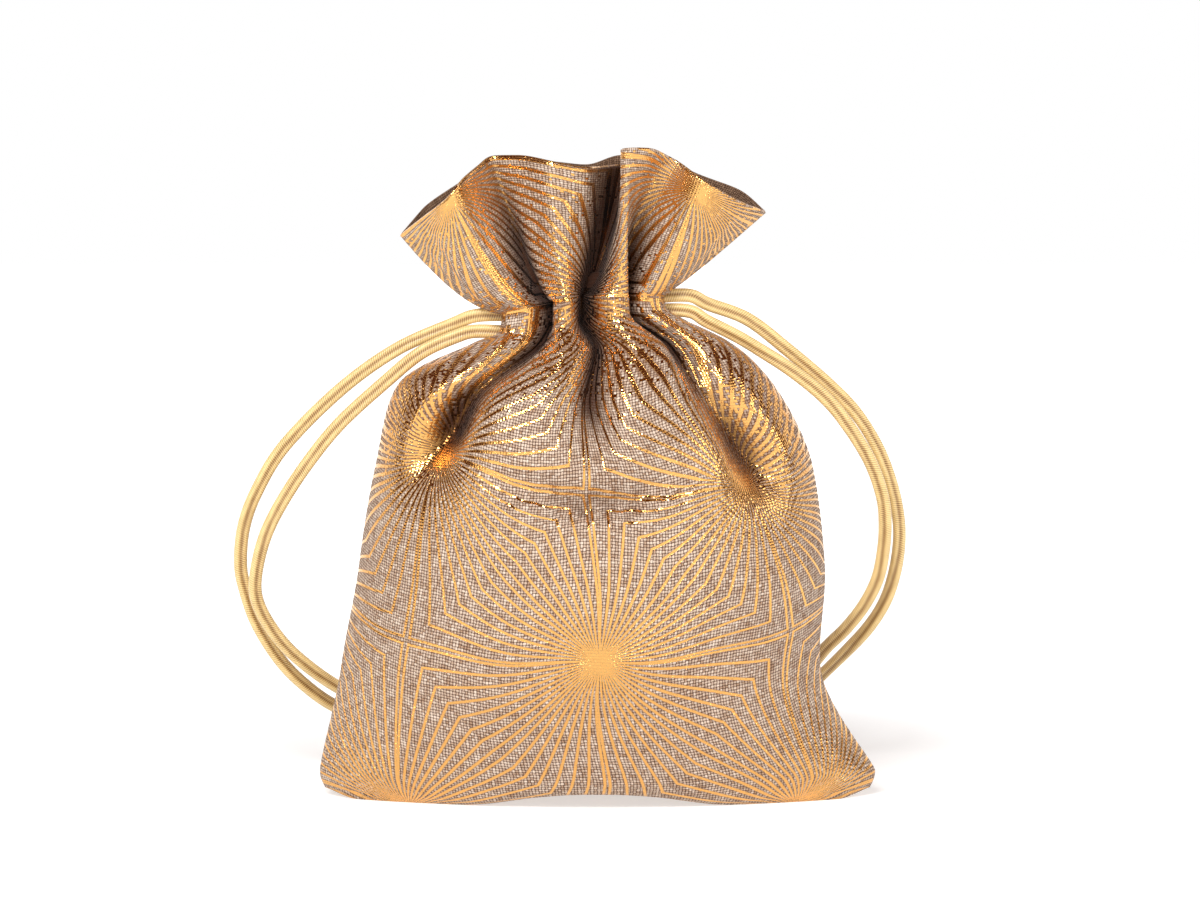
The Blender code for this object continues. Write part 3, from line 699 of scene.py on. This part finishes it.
def linen(printed):
    # linen, plain woven: matt threads with dark gaps between them; gold foil pressed on the
    # tops of the threads glints like metal and breaks up over the gaps
    # the inside of the frill takes the darker copies of the colours: painted shade
    f = linenFinish if printed else {**linenFinish, **linenFinish["inside"]}
    made = bpy.data.materials.new("printedLinen" if printed else "insideLinenPaintedShade")
    made.use_nodes = True
    tree = made.node_tree
    tree.nodes.clear()
    cloth = addNode(tree, "ShaderNodeUVMap", {"uv_map": "cloth"})
    split = addNode(tree, "ShaderNodeSeparateXYZ", None, (cloth,))
    acrossMm = addNode(tree, maths, times, (split.outputs[0], float(mapUnit)))
    upMm = addNode(tree, maths, times, (split.outputs[1], float(mapUnit)))
    height, thread, chance = weaveNodes(tree, acrossMm, upMm, f)
    onTop = addNode(tree, "ShaderNodeMapRange", None, (height, 0.18, 0.72, 0.0, 1.0))
    pale = addNode(tree, "ShaderNodeMapRange", None, (thread, 0.3, 0.7, 0.0, 1.0))
    tone = addNode(
        tree, "ShaderNodeMix", byColour, {0: pale, 6: fromHex(f["threadDark"]), 7: fromHex(f["thread"])}
    )
    bare = addNode(tree, "ShaderNodeMix", byColour, {0: onTop, 6: fromHex(f["gap"]), 7: tone.outputs[2]})
    bare = bare.outputs[2]
    if printed:
        foil, colour = foilNodes(tree, cloth, upMm, height, chance, bare, f)
        # painted shade: where the folds run deep the colour is darkened toward a dark brown, standing in
        # for the little light that gets down into them
        fold = addNode(tree, "ShaderNodeAttribute", {"attribute_name": "fold"}).outputs["Fac"]
        deep = addNode(
            tree, "ShaderNodeMapRange", smooth, (fold, f["foldFrom"], f["foldTo"], 0.0, f["foldShade"])
        )
        rough = addNode(tree, "ShaderNodeMapRange", None, (foil, 0.0, 1.0, f["linenRough"], f["foilRough"]))
        # the foil bridges the threads, so it lies flatter than the bare cloth
        level = addNode(tree, maths, minus, (1.0, addNode(tree, maths, times, (foil, f["foilFlat"]))))
        height = addNode(tree, maths, times, (height, level))
    else:
        foil, colour, rough = 0.0, bare, f["linenRough"]
        # painted shade: inside the frill the colour is darkened toward the drawn neck
        deep = addNode(
            tree, "ShaderNodeMapRange", smooth, (upMm, f["wellTo"], f["wellFrom"], f["wellShade"], 0.0)
        )
    shaded = addNode(tree, "ShaderNodeMix", byColour, {0: deep, 6: colour, 7: fromHex(f["paintedShadeColour"])})
    bump = addNode(
        tree, "ShaderNodeBump", None, {"Strength": 1.0, "Distance": f["relief"], "Height": height}
    )
    values = {
        "Base Color": shaded.outputs[2],
        "Metallic": foil,
        "Roughness": rough,
        "Normal": bump,
        "Sheen Weight": f["sheen"],
        "Specular IOR Level": f["specular"],
    }
    shader = addNode(tree, "ShaderNodeBsdfPrincipled", None, values)
    addNode(tree, "ShaderNodeOutputMaterial", None, (shader,))
    return made


pouch = makePouch(pouchSizes)
pouch.data.materials.append(linen(True))
pouch.data.materials.append(linen(False))
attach(pouch, "root")
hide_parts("pouch")
print("pouch made", len(pouch.data.polygons))


# satin cords, in metres
cordSettings = {
    "diameter": 0.0024,
    "halfWidth": 0.00124,  # the pressed section, and the crease along it
    "halfThick": 0.00090,
    "crease": 0.42,
    "creaseWidth": 0.30,
    "sides": 22,
    "ringStep": 0.0008,
    "exitHeight": 0.0872,  # where the strands come out of the channel
    "exitTilt": 0.0018,
    "exitSpread": 0.0028,
    "exitReach": 0.0050,
    "knotLength": 0.0080,
    "knotWidth": 0.0066,
    "knotBehind": 0.0390,  # from the middle of the bag back to the knots
    "tailLength": 0.0090,
    "gap": 0.0003,
    "leftKnot": -0.0130,
    "rightKnot": 0.0165,
    "coreStep": 0.0006,
    "turnStep": 0.0005,
    "turns": 1.35,
    "light": "#EDCF8E",
    "dark": "#80551F",
    "lay": 0.42,  # mm from one slanting thread to the next
    "slant": 6.0,
    "rough": 0.36,
    "specular": 0.6,
    "sheen": 0.25,
}
# millimetres, from just outside the neck down to the table behind
leftBackRun = (
    (-25.9, 1.2, 85.2),
    (-36.1, 2.6, 80.6),
    (-46.4, 4.2, 73.2),
    (-56.7, 6.2, 62.9),
    (-61.9, 7.8, 54.6),
    (-64.5, 9.2, 47.9),
    (-65.3, 10.4, 41.0),
    (-64.6, 11.4, 36.0),
    (-62.6, 13.0, 29.5),
    (-58.8, 15.2, 22.6),
    (-54.5, 17.6, 17.5),
    (-49.0, 21.2, 12.8),
    (-41.0, 27.6, 8.4),
    (-34.0, 33.6, 5.8),
    (-27.6, 38.2, 4.2),
)
leftFrontRun = (
    (-25.0, -0.5, 83.2),
    (-31.5, -0.3, 80.2),
    (-38.0, 0.4, 74.9),
    (-46.2, 1.4, 67.4),
    (-52.2, 2.6, 60.1),
    (-57.0, 3.8, 52.9),
    (-60.2, 5.0, 46.6),
    (-62.0, 6.4, 40.0),
    (-62.2, 7.6, 35.2),
    (-60.4, 9.2, 30.4),
    (-57.0, 11.2, 25.3),
    (-52.2, 13.8, 20.5),
    (-47.0, 17.2, 16.4),
    (-39.0, 23.6, 11.2),
    (-32.4, 29.8, 7.6),
    (-26.6, 34.9, 5.0),
)
rightBackRun = (
    (19.8, 1.4, 88.8),
    (27.0, 2.6, 86.0),
    (34.3, 3.8, 80.4),
    (41.7, 5.2, 74.1),
    (46.9, 6.6, 68.7),
    (51.0, 8.2, 62.2),
    (53.6, 9.8, 55.6),
    (55.0, 11.2, 49.6),
    (55.3, 12.4, 44.4),
    (54.6, 13.8, 38.6),
    (53.0, 15.4, 33.2),
    (50.2, 17.4, 28.2),
    (46.4, 21.0, 23.2),
    (41.8, 25.8, 17.6),
    (37.6, 30.8, 12.2),
    (33.6, 35.6, 7.8),
    (29.4, 39.2, 4.8),
)
rightFrontRun = (
    (19.4, -0.8, 85.9),
    (24.8, -0.4, 83.2),
    (29.3, 0.1, 80.5),
    (34.7, 0.8, 77.0),
    (40.6, 1.8, 72.2),
    (44.8, 2.8, 67.3),
    (49.1, 4.4, 60.5),
    (51.6, 6.2, 53.9),
    (52.3, 7.6, 48.6),
    (52.1, 9.0, 43.2),
    (51.2, 10.6, 38.0),
    (49.0, 12.6, 33.0),
    (45.9, 15.0, 28.4),
    (42.2, 18.2, 24.0),
    (38.2, 23.4, 17.8),
    (34.0, 29.0, 11.8),
    (29.9, 34.4, 6.8),
)


def smoothPath(through, step):
    # an even path that passes through every given point
    through = [np.array(p, float) for p in through]
    through = [2 * through[0] - through[1], *through, 2 * through[-1] - through[-2]]
    fine = []
    for a, b, c, d in zip(through, through[1:], through[2:], through[3:]):
        for t in np.linspace(0, 1, 24, endpoint=False):
            straight = 2 * b + (c - a) * t
            bend = (2 * a - 5 * b + 4 * c - d) * t**2 + (3 * b - a - 3 * c + d) * t**3
            fine.append((straight + bend) / 2)
    fine.append(through[-2])
    fine = np.array(fine)
    run = np.concatenate(([0.0], np.cumsum(np.linalg.norm(np.diff(fine, axis=0), axis=1))))
    places = np.linspace(0.0, run[-1], max(3, int(round(run[-1] / step)) + 1))
    return np.stack([np.interp(places, run, fine[:, i]) for i in range(3)], 1)


def cordTree():
    # sweeps a soft flattened section with one lengthwise crease along every line of a mesh
    tree = bpy.data.node_groups.new("cordSweep", "GeometryNodeTree")
    tree.interface.new_socket("Path", in_out="INPUT", socket_type="NodeSocketGeometry")
    for name in ("Half width", "Half thickness", "Crease", "Crease width"):
        tree.interface.new_socket(name, in_out="INPUT", socket_type="NodeSocketFloat")
    tree.interface.new_socket("Sides", in_out="INPUT", socket_type="NodeSocketInt")
    tree.interface.new_socket("Material", in_out="INPUT", socket_type="NodeSocketMaterial")
    tree.interface.new_socket("Cord", in_out="OUTPUT", socket_type="NodeSocketGeometry")
    given = addNode(tree, "NodeGroupInput").outputs
    face = addNode(tree, "GeometryNodeInputNamedAttribute", {"data_type": "FLOAT_VECTOR"}, {"Name": "face"})
    line = addNode(tree, "GeometryNodeMeshToCurve", None, {"Mesh": given["Path"]})
    turned = addNode(
        tree,
        "GeometryNodeSetCurveNormal",
        {"mode": "FREE"},
        {"Curve": line, "Normal": face.outputs["Attribute"]},
    )
    run = addNode(tree, "GeometryNodeSplineParameter")
    alongMm = addNode(tree, maths, times, (run.outputs["Length"], 1000.0))
    measured = addNode(
        tree,
        "GeometryNodeStoreNamedAttribute",
        {"data_type": "FLOAT", "domain": "POINT"},
        {"Geometry": turned, "Name": "along", "Value": alongMm},
    )
    # the section starts as a round one, whose places are kept for the material
    section = addNode(
        tree,
        "GeometryNodeCurvePrimitiveCircle",
        {"mode": "RADIUS"},
        {"Resolution": given["Sides"], "Radius": 1.0},
    )
    where = addNode(tree, "GeometryNodeInputPosition")
    place = addNode(tree, "ShaderNodeSeparateXYZ", None, (where,)).outputs
    stored = addNode(
        tree,
        "GeometryNodeStoreNamedAttribute",
        {"data_type": "FLOAT_VECTOR", "domain": "POINT"},
        {"Geometry": section, "Name": "around", "Value": where},
    )
    edge = addNode(tree, maths, divided, (place[1], given["Crease width"]))
    dip = addNode(
        tree,
        maths,
        {"operation": "EXPONENT"},
        (addNode(tree, maths, times, (addNode(tree, maths, times, (edge, edge)), -1.0)),),
    )
    dip = addNode(
        tree, maths, times, (dip, addNode(tree, maths, {"operation": "GREATER_THAN"}, (place[0], 0.0)))
    )
    left = addNode(tree, maths, minus, (1.0, addNode(tree, maths, times, (dip, given["Crease"]))))
    thick = addNode(tree, maths, times, (given["Half thickness"], left))
    shaped = addNode(
        tree,
        "ShaderNodeCombineXYZ",
        None,
        (
            addNode(tree, maths, times, (place[0], thick)),
            addNode(tree, maths, times, (place[1], given["Half width"])),
        ),
    )
    flat = addNode(tree, "GeometryNodeSetPosition", None, {"Geometry": stored, "Position": shaped})
    swept = addNode(
        tree, "GeometryNodeCurveToMesh", None, {"Curve": measured, "Profile Curve": flat, "Fill Caps": True}
    )
    rounded = addNode(tree, "GeometryNodeSetShadeSmooth", None, {"Geometry": swept})
    real = addNode(tree, "GeometryNodeRealizeInstances", None, {"Geometry": rounded})
    dressed = addNode(
        tree, "GeometryNodeSetMaterial", None, {"Geometry": real, "Material": given["Material"]}
    )
    addNode(tree, "NodeGroupOutput", None, {"Cord": dressed})
    return tree


def faceAlong(points, towards, turn=0.0):
    # which way the creased side looks at each point of a line
    ahead = np.gradient(points, axis=0)
    ahead /= np.linalg.norm(ahead, axis=1)[:, None]
    face = np.array(np.broadcast_to(towards, points.shape), float)
    face -= ahead * np.sum(face * ahead, axis=1)[:, None]
    face /= np.linalg.norm(face, axis=1)[:, None]
    angle = np.broadcast_to(turn, len(points))[:, None]
    return face * np.cos(angle) + np.cross(ahead, face) * np.sin(angle)


def sweepLines(name, lines, material, c):
    # one piece of cord made along each line, as one plain mesh
    points = np.concatenate([line for line, face in lines])
    edges = []
    start = 0
    for line, face in lines:
        edges += [(start + i, start + i + 1) for i in range(len(line) - 1)]
        start += len(line)
    data = bpy.data.meshes.new(name + "Path")
    data.from_pydata([tuple(p) for p in points], edges, [])
    layer = data.attributes.new("face", "FLOAT_VECTOR", "POINT")
    faces = np.concatenate([face for line, face in lines])
    layer.data.foreach_set("vector", faces.astype(float).ravel())
    made = linkObject(name, data)
    sweep = made.modifiers.new("sweep", "NODES")
    sweep.node_group = sweepTree
    values = {
        "Half width": c["halfWidth"],
        "Half thickness": c["halfThick"],
        "Crease": c["crease"],
        "Crease width": c["creaseWidth"],
        "Sides": c["sides"],
        "Material": material,
    }
    for item in sweepTree.interface.items_tree:
        if item.name in values and item.in_out == "INPUT":
            sweep[item.identifier] = values[item.name]
    ready = made.evaluated_get(bpy.context.evaluated_depsgraph_get())
    result = bpy.data.meshes.new_from_object(ready)
    made.modifiers.clear()
    made.data = result
    bpy.data.meshes.remove(data)
    return made


def satinCord():
    # satin cord: smooth, softly shining, with fine slanting threads that catch the light
    c = cordSettings
    made = bpy.data.materials.new("satinCord")
    made.use_nodes = True
    tree = made.node_tree
    tree.nodes.clear()
    around = addNode(tree, "ShaderNodeAttribute", {"attribute_name": "around"})
    place = addNode(tree, "ShaderNodeSeparateXYZ", None, (around.outputs["Vector"],)).outputs
    angle = addNode(tree, maths, {"operation": "ARCTAN2"}, (place[1], place[0]))
    alongMm = addNode(tree, "ShaderNodeAttribute", {"attribute_name": "along"}).outputs["Fac"]
    lay = addNode(tree, maths, times, (alongMm, 2 * math.pi / c["lay"]))
    slant = addNode(tree, maths, plus, (addNode(tree, maths, times, (angle, c["slant"])), lay))
    thread = addNode(
        tree,
        maths,
        times,
        (addNode(tree, maths, plus, (addNode(tree, maths, {"operation": "SINE"}, (slant,)), 1.0)), 0.5),
    )
    where = addNode(
        tree,
        "ShaderNodeCombineXYZ",
        None,
        (addNode(tree, maths, times, (place[1], 0.35)), addNode(tree, maths, times, (alongMm, 0.1))),
    )
    mottle = addNode(tree, "ShaderNodeTexNoise", flatNoise, {"Vector": where, "Scale": 3.0, "Detail": 3.0})
    uneven = addNode(tree, maths, times, (mottle.outputs["Fac"], 0.95))
    dark = addNode(tree, maths, times, (addNode(tree, maths, minus, (1.0, thread)), uneven))
    # the crease down the middle stays in its own shadow
    edge = addNode(tree, maths, divided, (angle, c["creaseWidth"]))
    inCrease = addNode(
        tree,
        maths,
        {"operation": "EXPONENT"},
        (addNode(tree, maths, times, (addNode(tree, maths, times, (edge, edge)), -1.0)),),
    )
    dark = addNode(
        tree,
        maths,
        {"operation": "MINIMUM"},
        (addNode(tree, maths, plus, (dark, addNode(tree, maths, times, (inCrease, 0.6)))), 1.0),
    )
    colour = addNode(
        tree, "ShaderNodeMix", byColour, {0: dark, 6: fromHex(c["light"]), 7: fromHex(c["dark"])}
    )
    bump = addNode(tree, "ShaderNodeBump", None, {"Strength": 0.35, "Distance": 0.00008, "Height": thread})
    values = {
        "Base Color": colour.outputs[2],
        "Normal": bump,
        "Roughness": c["rough"],
        "Specular IOR Level": c["specular"],
        "Sheen Weight": c["sheen"],
    }
    shader = addNode(tree, "ShaderNodeBsdfPrincipled", None, values)
    addNode(tree, "ShaderNodeOutputMaterial", None, (shader,))
    return made


def strandPath(side, run, upper, knotPlace, c):
    # from inside the pleats, down the loop and into the knot
    middle = sections[neck][4] * pouchSizes["neckWidth"]
    seam = middle + side * (pouchSizes["neckWidth"] / 2 - pouchSizes["seamDent"])
    height = c["exitHeight"] + side * c["exitTilt"] + c["exitSpread"] / 2 * (1 if upper else -1)
    start = np.array((seam + side * c["exitReach"], 0.0, height))
    inside = start - np.array((side * 0.0062, 0.0, side * 0.0002 * (1 if upper else -1)))
    beside = (c["diameter"] + c["gap"]) / 2 * (1 if upper else -1)
    near = knotPlace + side * (c["knotLength"] / 2 + c["gap"])
    end = np.array((near, c["knotBehind"] + beside, c["knotWidth"] / 2))
    lead = end + np.array((side * 2 * c["diameter"], 0.0, 0.0))
    through = [inside, start, *(np.array(run) / 1000), lead, end]
    return smoothPath(through, c["ringStep"])


def makeStrand(name, side, run, upper, knotPlace, material, c):
    # one strand, which turns a little about itself as it runs
    points = strandPath(side, run, upper, knotPlace, c)
    rng = np.random.default_rng(7 + side + 3 * upper)
    knots = rng.uniform(-0.45, 0.45, 9)
    turn = curveThrough(np.linspace(0, 1, 9), knots, np.linspace(0, 1, len(points)))
    made = sweepLines(name, [(points, faceAlong(points, (0, -1, 0), turn * side))], material, c)
    length = float(np.linalg.norm(np.diff(points, axis=0), axis=1).sum())
    return made, points, length


def makeKnot(name, side, place, material, c):
    # an overhand knot of both strands together: a core, two slanting turns round it, two tails
    lines = []
    middle = np.array((place, c["knotBehind"], c["knotWidth"] / 2))
    half = c["knotLength"] / 2
    for beside in (-1, 1):
        core = [
            (side * (half + 0.0002), beside * 0.00128, 0),
            (side * half * 0.4, beside * 0.0010, 0.0002 * beside),
            (-side * half * 0.4, beside * 0.0010, -0.0002 * beside),
            (-side * (half + 0.0008), beside * 0.00130, -0.0002),
            (-side * (half + 0.0045), beside * 0.0024, -0.0011 + 0.0003 * beside),
            (-side * (half + c["tailLength"] * 0.92), beside * 0.0036, -0.0018),
        ]
        path = smoothPath([middle + np.array(p) for p in core], c["coreStep"])
        lines.append((path, faceAlong(path, (0, 0, 1))))
        turns = []
        for i in range(25):
            t = i / 24
            angle = side * (0.4 + t * 2 * math.pi * c["turns"]) + 0.2 * beside
            x = side * (half * 0.62 - t * half * 1.05) + beside * 0.00105
            radius = 0.00205 - 0.0007 * (abs(2 * t - 1) ** 6)
            wound = (x, math.cos(angle) * radius * 1.15, math.sin(angle) * radius * 0.98)
            turns.append(middle + np.array(wound))
        path = smoothPath(turns, c["turnStep"])
        lines.append((path, faceAlong(path, (path - middle) * (0, 1, 1))))
    return sweepLines(name, lines, material, c)


satin = satinCord()
sweepTree = cordTree()
cordLengths = {}
for word, side, place, frontRun, backRun in (
    ("left", -1, cordSettings["leftKnot"], leftFrontRun, leftBackRun),
    ("right", 1, cordSettings["rightKnot"], rightFrontRun, rightBackRun),
):
    knot = makeKnot(word + "Knot", side, place, satin, cordSettings)
    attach(knot, "root")
    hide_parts(word + "_cord_knot")
    for which, run, upper in (("Front", frontRun, False), ("Back", backRun, True)):
        name = word + "Cord" + which
        strand, points, length = makeStrand(name, side, run, upper, place, satin, cordSettings)
        cordLengths[word + which] = round(length, 4)
        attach(strand, "root")
        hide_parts(word + "_cord_" + which.lower())
print("cords made", cordLengths)


# white paper under the bag, and the room and lamps that light it
stageSettings = {
    "size": 3.0,
    "grey": (0.95, 0.95, 0.95, 1.0),
    "white": 1.5,
    "shadowReach": (0.07, 0.17),  # m from the bag, over which the floor turns to plain white
    "whiteShare": (0.36, 1.0),
    "aim": (0.0, 0.0, 0.05),
    "dim": (0.10, 0.035, 0.01, 1.0),  # the room's sides and ceiling
    "bright": (1.55, 1.53, 1.51, 1.0),  # its front and back walls
    "frontWall": (-0.50, -0.78),
    "backWall": (0.15, 0.45),
    "ceiling": (0.30, 0.60),
}
# place, width and height in m, and watts
lamps = {
    "keyLight": ((-0.28, -0.86, 0.80), (0.46, 0.22), 12.5),
    "fillLight": ((0.85, -0.40, 0.50), (0.4, 0.4), 2.0),
    "topLight": ((0.0, 0.45, 0.9), (0.7, 0.3), 0.8),
}


def makeFloor(s):
    # white paper: it keeps the bag's shadow close by and is plain white farther off
    data = bpy.data.meshes.new("floor")
    shape = bmesh.new()
    bmesh.ops.create_grid(shape, x_segments=1, y_segments=1, size=s["size"])
    shape.to_mesh(data)
    shape.free()
    floor = linkObject("floor", data)
    made = bpy.data.materials.new("whitePaper")
    made.use_nodes = True
    tree = made.node_tree
    tree.nodes.clear()
    where = addNode(tree, "ShaderNodeTexCoord").outputs["Object"]
    length = addNode(tree, "ShaderNodeVectorMath", {"operation": "LENGTH"}, (where,)).outputs["Value"]
    away = addNode(tree, "ShaderNodeMapRange", smooth, (length, *s["shadowReach"], *s["whiteShare"]))
    diffuse = addNode(tree, "ShaderNodeBsdfDiffuse", None, {"Color": s["grey"]})
    white = addNode(tree, "ShaderNodeEmission", None, ((1, 1, 1, 1), s["white"]))
    both = addNode(tree, "ShaderNodeMixShader", None, (away, diffuse, white))
    addNode(tree, "ShaderNodeOutputMaterial", None, (both,))
    data.materials.append(made)


def makeLamp(name, place, size, watts, aim):
    data = bpy.data.lights.new(name, "AREA")
    data.shape = "RECTANGLE"
    data.size, data.size_y = size
    data.energy = watts
    made = linkObject(name, data)
    made.location = place
    made.rotation_euler = (Vector(aim) - Vector(place)).to_track_quat("-Z", "Y").to_euler()


def makeWorld(s):
    # the room: a bright wall in front and behind, dim warm sides and ceiling; the camera sees white
    world = bpy.data.worlds.new("studio")
    bpy.context.scene.world = world
    world.use_nodes = True
    tree = world.node_tree
    tree.nodes.clear()
    seen = addNode(tree, "ShaderNodeLightPath").outputs["Is Camera Ray"]
    where = addNode(tree, "ShaderNodeTexCoord").outputs["Generated"]
    apart = addNode(tree, "ShaderNodeSeparateXYZ", None, (where,)).outputs
    front = addNode(tree, "ShaderNodeMapRange", smooth, (apart[1], *s["frontWall"], 0.0, 1.0))
    back = addNode(tree, "ShaderNodeMapRange", smooth, (apart[1], *s["backWall"], 0.0, 1.0))
    under = addNode(tree, "ShaderNodeMapRange", smooth, (apart[2], *s["ceiling"], 1.0, 0.0))
    bright = addNode(
        tree, maths, times, (addNode(tree, maths, {"operation": "MAXIMUM"}, (front, back)), under)
    )
    shade = addNode(tree, "ShaderNodeMix", byColour, {0: bright, 6: s["dim"], 7: s["bright"]})
    light = addNode(tree, "ShaderNodeBackground", None, (shade.outputs[2], 1.0))
    white = addNode(tree, "ShaderNodeBackground", None, ((1, 1, 1, 1), 1.0))
    both = addNode(tree, "ShaderNodeMixShader", None, (seen, light, white))
    addNode(tree, "ShaderNodeOutputWorld", None, (both,))


makeFloor(stageSettings)
for name, (place, size, watts) in lamps.items():
    makeLamp(name, place, size, watts, stageSettings["aim"])
makeWorld(stageSettings)
bpy.context.scene.view_settings.view_transform = "Standard"
print("light set")
